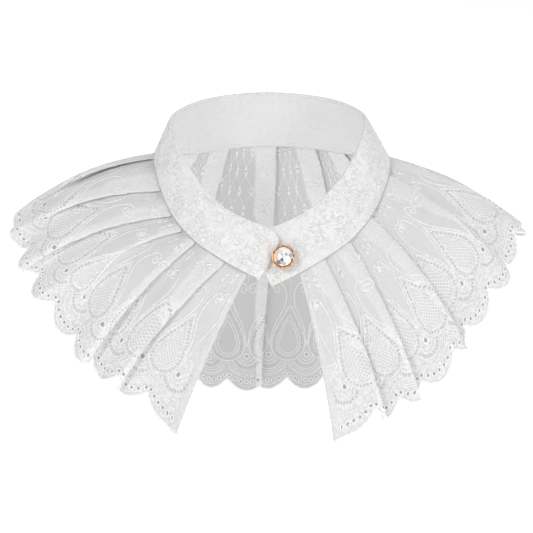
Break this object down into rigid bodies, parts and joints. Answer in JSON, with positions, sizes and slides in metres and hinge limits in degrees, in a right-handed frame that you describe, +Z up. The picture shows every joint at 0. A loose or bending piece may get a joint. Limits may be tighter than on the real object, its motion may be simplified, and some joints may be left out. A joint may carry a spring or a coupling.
{
  "type": "lace collar",
  "caption": "Detachable lace collar: a stand band that laps in front under one jewelled button, with a one-way pleated, scalloped lace ruffle that spreads over the shoulders",
  "frame": {"origin": "the middle of the neck, at the height of the band's lower seam at the middle back", "axes": "+Z up along the neck, -Y to the front where the band closes, +X to the wearer's left and so to the viewer's right"},
  "size_m": [0.3183, 0.2049, 0.2157],
  "materials": {
    "white_brocade": "white cloth embroidered in white with small flowers and scrolls",
    "white_cotton": "smooth plain white woven cloth, matt",
    "white_lace": "sheer white ground with raised white embroidery and small eyelets",
    "rose_gold_brass": "polished, with a milled edge",
    "clear_glass": "clear faceted stone"
  },
  "bodies": {
    "root": {"band_outer": "white_brocade", "band_facing": "white_cotton", "ruffle": "white_lace", "button_setting": "rose_gold_brass", "button_stone": "clear_glass"}
  },
  "joints": []
}
